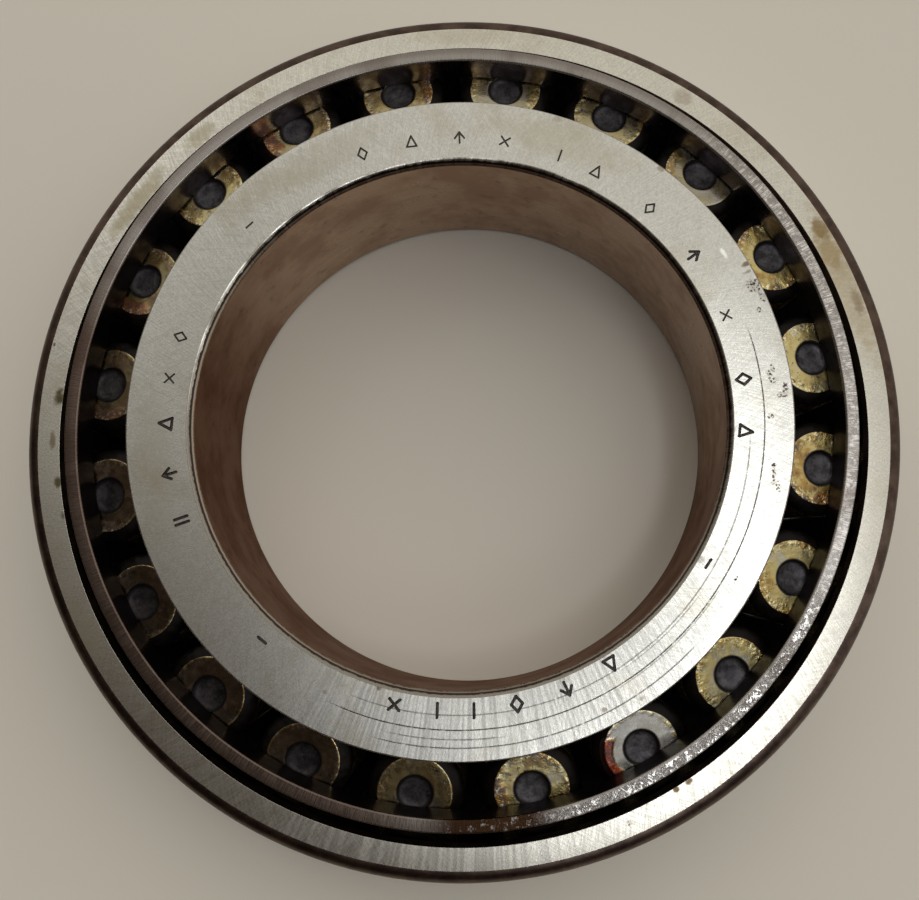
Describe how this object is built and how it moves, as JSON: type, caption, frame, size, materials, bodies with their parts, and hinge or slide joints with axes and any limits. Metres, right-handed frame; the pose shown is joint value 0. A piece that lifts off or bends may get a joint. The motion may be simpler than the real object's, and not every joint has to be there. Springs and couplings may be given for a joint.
{
  "type": "tapered roller bearing",
  "caption": "Single-row tapered roller bearing: separable cup, cone with large back rib, pressed-steel cage and dimpled tapered rollers, standing on the cup's back face.",
  "frame": {"origin": "centre of the cup's back face, which is the plane that the bearing stands on", "axes": "+Z along the bearing's axis, from the cup's back face towards the cone's back face; +X and +Y lie in the cup's back face"},
  "size_m": [0.0984, 0.0984, 0.0222],
  "materials": {
    "cup_steel": "ground faces with fine cross-grinding, light staining and a dark oxide skin on the rounded corners",
    "cone_steel": "ground back face with radial grinding marks, scribed wear lines and a smooth stained bore",
    "cage_steel": "pressed sheet steel, oily dark walls and a machined bright rim edge",
    "roller_steel": "ground rollers under amber oil, with dark rough dimples in the large ends"
  },
  "bodies": {
    "cup": {"cup": "cup_steel"},
    "cone": {"cone": "cone_steel"},
    "cage": {"cage": "cage_steel"},
    "roller_01": {"roller_01": "roller_steel"},
    "roller_02": {"roller_02": "roller_steel"},
    "roller_03": {"roller_03": "roller_steel"},
    "roller_04": {"roller_04": "roller_steel"},
    "roller_05": {"roller_05": "roller_steel"},
    "roller_06": {"roller_06": "roller_steel"},
    "roller_07": {"roller_07": "roller_steel"},
    "roller_08": {"roller_08": "roller_steel"},
    "roller_09": {"roller_09": "roller_steel"},
    "roller_10": {"roller_10": "roller_steel"},
    "roller_11": {"roller_11": "roller_steel"},
    "roller_12": {"roller_12": "roller_steel"},
    "roller_13": {"roller_13": "roller_steel"},
    "roller_14": {"roller_14": "roller_steel"},
    "roller_15": {"roller_15": "roller_steel"},
    "roller_16": {"roller_16": "roller_steel"},
    "roller_17": {"roller_17": "roller_steel"},
    "roller_18": {"roller_18": "roller_steel"},
    "roller_19": {"roller_19": "roller_steel"},
    "roller_20": {"roller_20": "roller_steel"}
  },
  "joints": [
    {"name": "cone_spin", "type": "hinge", "parent": "cup", "child": "cone", "pos_m": [0, 0, 0], "axis": [0, 0, 1], "continuous": true},
    {"name": "cage_orbit", "type": "hinge", "parent": "cup", "child": "cage", "pos_m": [0, 0, 0], "axis": [0, 0, 1], "continuous": true},
    {"name": "roller_01_spin", "type": "hinge", "parent": "cage", "child": "roller_01", "pos_m": [0.00451, 0.03795, 0.0102], "axis": [0.0255, 0.2149, 0.9763], "continuous": true},
    {"name": "roller_02_spin", "type": "hinge", "parent": "cage", "child": "roller_02", "pos_m": [0.01601, 0.0347, 0.0102], "axis": [0.0907, 0.1965, 0.9763], "continuous": true},
    {"name": "roller_03_spin", "type": "hinge", "parent": "cage", "child": "roller_03", "pos_m": [0.02595, 0.02806, 0.0102], "axis": [0.147, 0.1589, 0.9763], "continuous": true},
    {"name": "roller_04_spin", "type": "hinge", "parent": "cage", "child": "roller_04", "pos_m": [0.03335, 0.01866, 0.0102], "axis": [0.1889, 0.1057, 0.9763], "continuous": true},
    {"name": "roller_05_spin", "type": "hinge", "parent": "cage", "child": "roller_05", "pos_m": [0.03749, 0.00744, 0.0102], "axis": [0.2123, 0.0422, 0.9763], "continuous": true},
    {"name": "roller_06_spin", "type": "hinge", "parent": "cage", "child": "roller_06", "pos_m": [0.03795, -0.00451, 0.0102], "axis": [0.2149, -0.0255, 0.9763], "continuous": true},
    {"name": "roller_07_spin", "type": "hinge", "parent": "cage", "child": "roller_07", "pos_m": [0.0347, -0.01601, 0.0102], "axis": [0.1965, -0.0907, 0.9763], "continuous": true},
    {"name": "roller_08_spin", "type": "hinge", "parent": "cage", "child": "roller_08", "pos_m": [0.02806, -0.02595, 0.0102], "axis": [0.1589, -0.147, 0.9763], "continuous": true},
    {"name": "roller_09_spin", "type": "hinge", "parent": "cage", "child": "roller_09", "pos_m": [0.01866, -0.03335, 0.0102], "axis": [0.1057, -0.1889, 0.9763], "continuous": true},
    {"name": "roller_10_spin", "type": "hinge", "parent": "cage", "child": "roller_10", "pos_m": [0.00744, -0.03749, 0.0102], "axis": [0.0422, -0.2123, 0.9763], "continuous": true},
    {"name": "roller_11_spin", "type": "hinge", "parent": "cage", "child": "roller_11", "pos_m": [-0.00451, -0.03795, 0.0102], "axis": [-0.0255, -0.2149, 0.9763], "continuous": true},
    {"name": "roller_12_spin", "type": "hinge", "parent": "cage", "child": "roller_12", "pos_m": [-0.01601, -0.0347, 0.0102], "axis": [-0.0907, -0.1965, 0.9763], "continuous": true},
    {"name": "roller_13_spin", "type": "hinge", "parent": "cage", "child": "roller_13", "pos_m": [-0.02595, -0.02806, 0.0102], "axis": [-0.147, -0.1589, 0.9763], "continuous": true},
    {"name": "roller_14_spin", "type": "hinge", "parent": "cage", "child": "roller_14", "pos_m": [-0.03335, -0.01866, 0.0102], "axis": [-0.1889, -0.1057, 0.9763], "continuous": true},
    {"name": "roller_15_spin", "type": "hinge", "parent": "cage", "child": "roller_15", "pos_m": [-0.03749, -0.00744, 0.0102], "axis": [-0.2123, -0.0422, 0.9763], "continuous": true},
    {"name": "roller_16_spin", "type": "hinge", "parent": "cage", "child": "roller_16", "pos_m": [-0.03795, 0.00451, 0.0102], "axis": [-0.2149, 0.0255, 0.9763], "continuous": true},
    {"name": "roller_17_spin", "type": "hinge", "parent": "cage", "child": "roller_17", "pos_m": [-0.0347, 0.01601, 0.0102], "axis": [-0.1965, 0.0907, 0.9763], "continuous": true},
    {"name": "roller_18_spin", "type": "hinge", "parent": "cage", "child": "roller_18", "pos_m": [-0.02806, 0.02595, 0.0102], "axis": [-0.1589, 0.147, 0.9763], "continuous": true},
    {"name": "roller_19_spin", "type": "hinge", "parent": "cage", "child": "roller_19", "pos_m": [-0.01866, 0.03335, 0.0102], "axis": [-0.1057, 0.1889, 0.9763], "continuous": true},
    {"name": "roller_20_spin", "type": "hinge", "parent": "cage", "child": "roller_20", "pos_m": [-0.00744, 0.03749, 0.0102], "axis": [-0.0422, 0.2123, 0.9763], "continuous": true}
  ],
  "couplings": [
    {"joint": "cage_orbit", "follows": "cone_spin", "ratio": 0.43622},
    {"joint": "roller_01_spin", "follows": "cone_spin", "ratio": -3.7647},
    {"joint": "roller_02_spin", "follows": "cone_spin", "ratio": -3.7647},
    {"joint": "roller_03_spin", "follows": "cone_spin", "ratio": -3.7647},
    {"joint": "roller_04_spin", "follows": "cone_spin", "ratio": -3.7647},
    {"joint": "roller_05_spin", "follows": "cone_spin", "ratio": -3.7647},
    {"joint": "roller_06_spin", "follows": "cone_spin", "ratio": -3.7647},
    {"joint": "roller_07_spin", "follows": "cone_spin", "ratio": -3.7647},
    {"joint": "roller_08_spin", "follows": "cone_spin", "ratio": -3.7647},
    {"joint": "roller_09_spin", "follows": "cone_spin", "ratio": -3.7647},
    {"joint": "roller_10_spin", "follows": "cone_spin", "ratio": -3.7647},
    {"joint": "roller_11_spin", "follows": "cone_spin", "ratio": -3.7647},
    {"joint": "roller_12_spin", "follows": "cone_spin", "ratio": -3.7647},
    {"joint": "roller_13_spin", "follows": "cone_spin", "ratio": -3.7647},
    {"joint": "roller_14_spin", "follows": "cone_spin", "ratio": -3.7647},
    {"joint": "roller_15_spin", "follows": "cone_spin", "ratio": -3.7647},
    {"joint": "roller_16_spin", "follows": "cone_spin", "ratio": -3.7647},
    {"joint": "roller_17_spin", "follows": "cone_spin", "ratio": -3.7647},
    {"joint": "roller_18_spin", "follows": "cone_spin", "ratio": -3.7647},
    {"joint": "roller_19_spin", "follows": "cone_spin", "ratio": -3.7647},
    {"joint": "roller_20_spin", "follows": "cone_spin", "ratio": -3.7647}
  ]
}
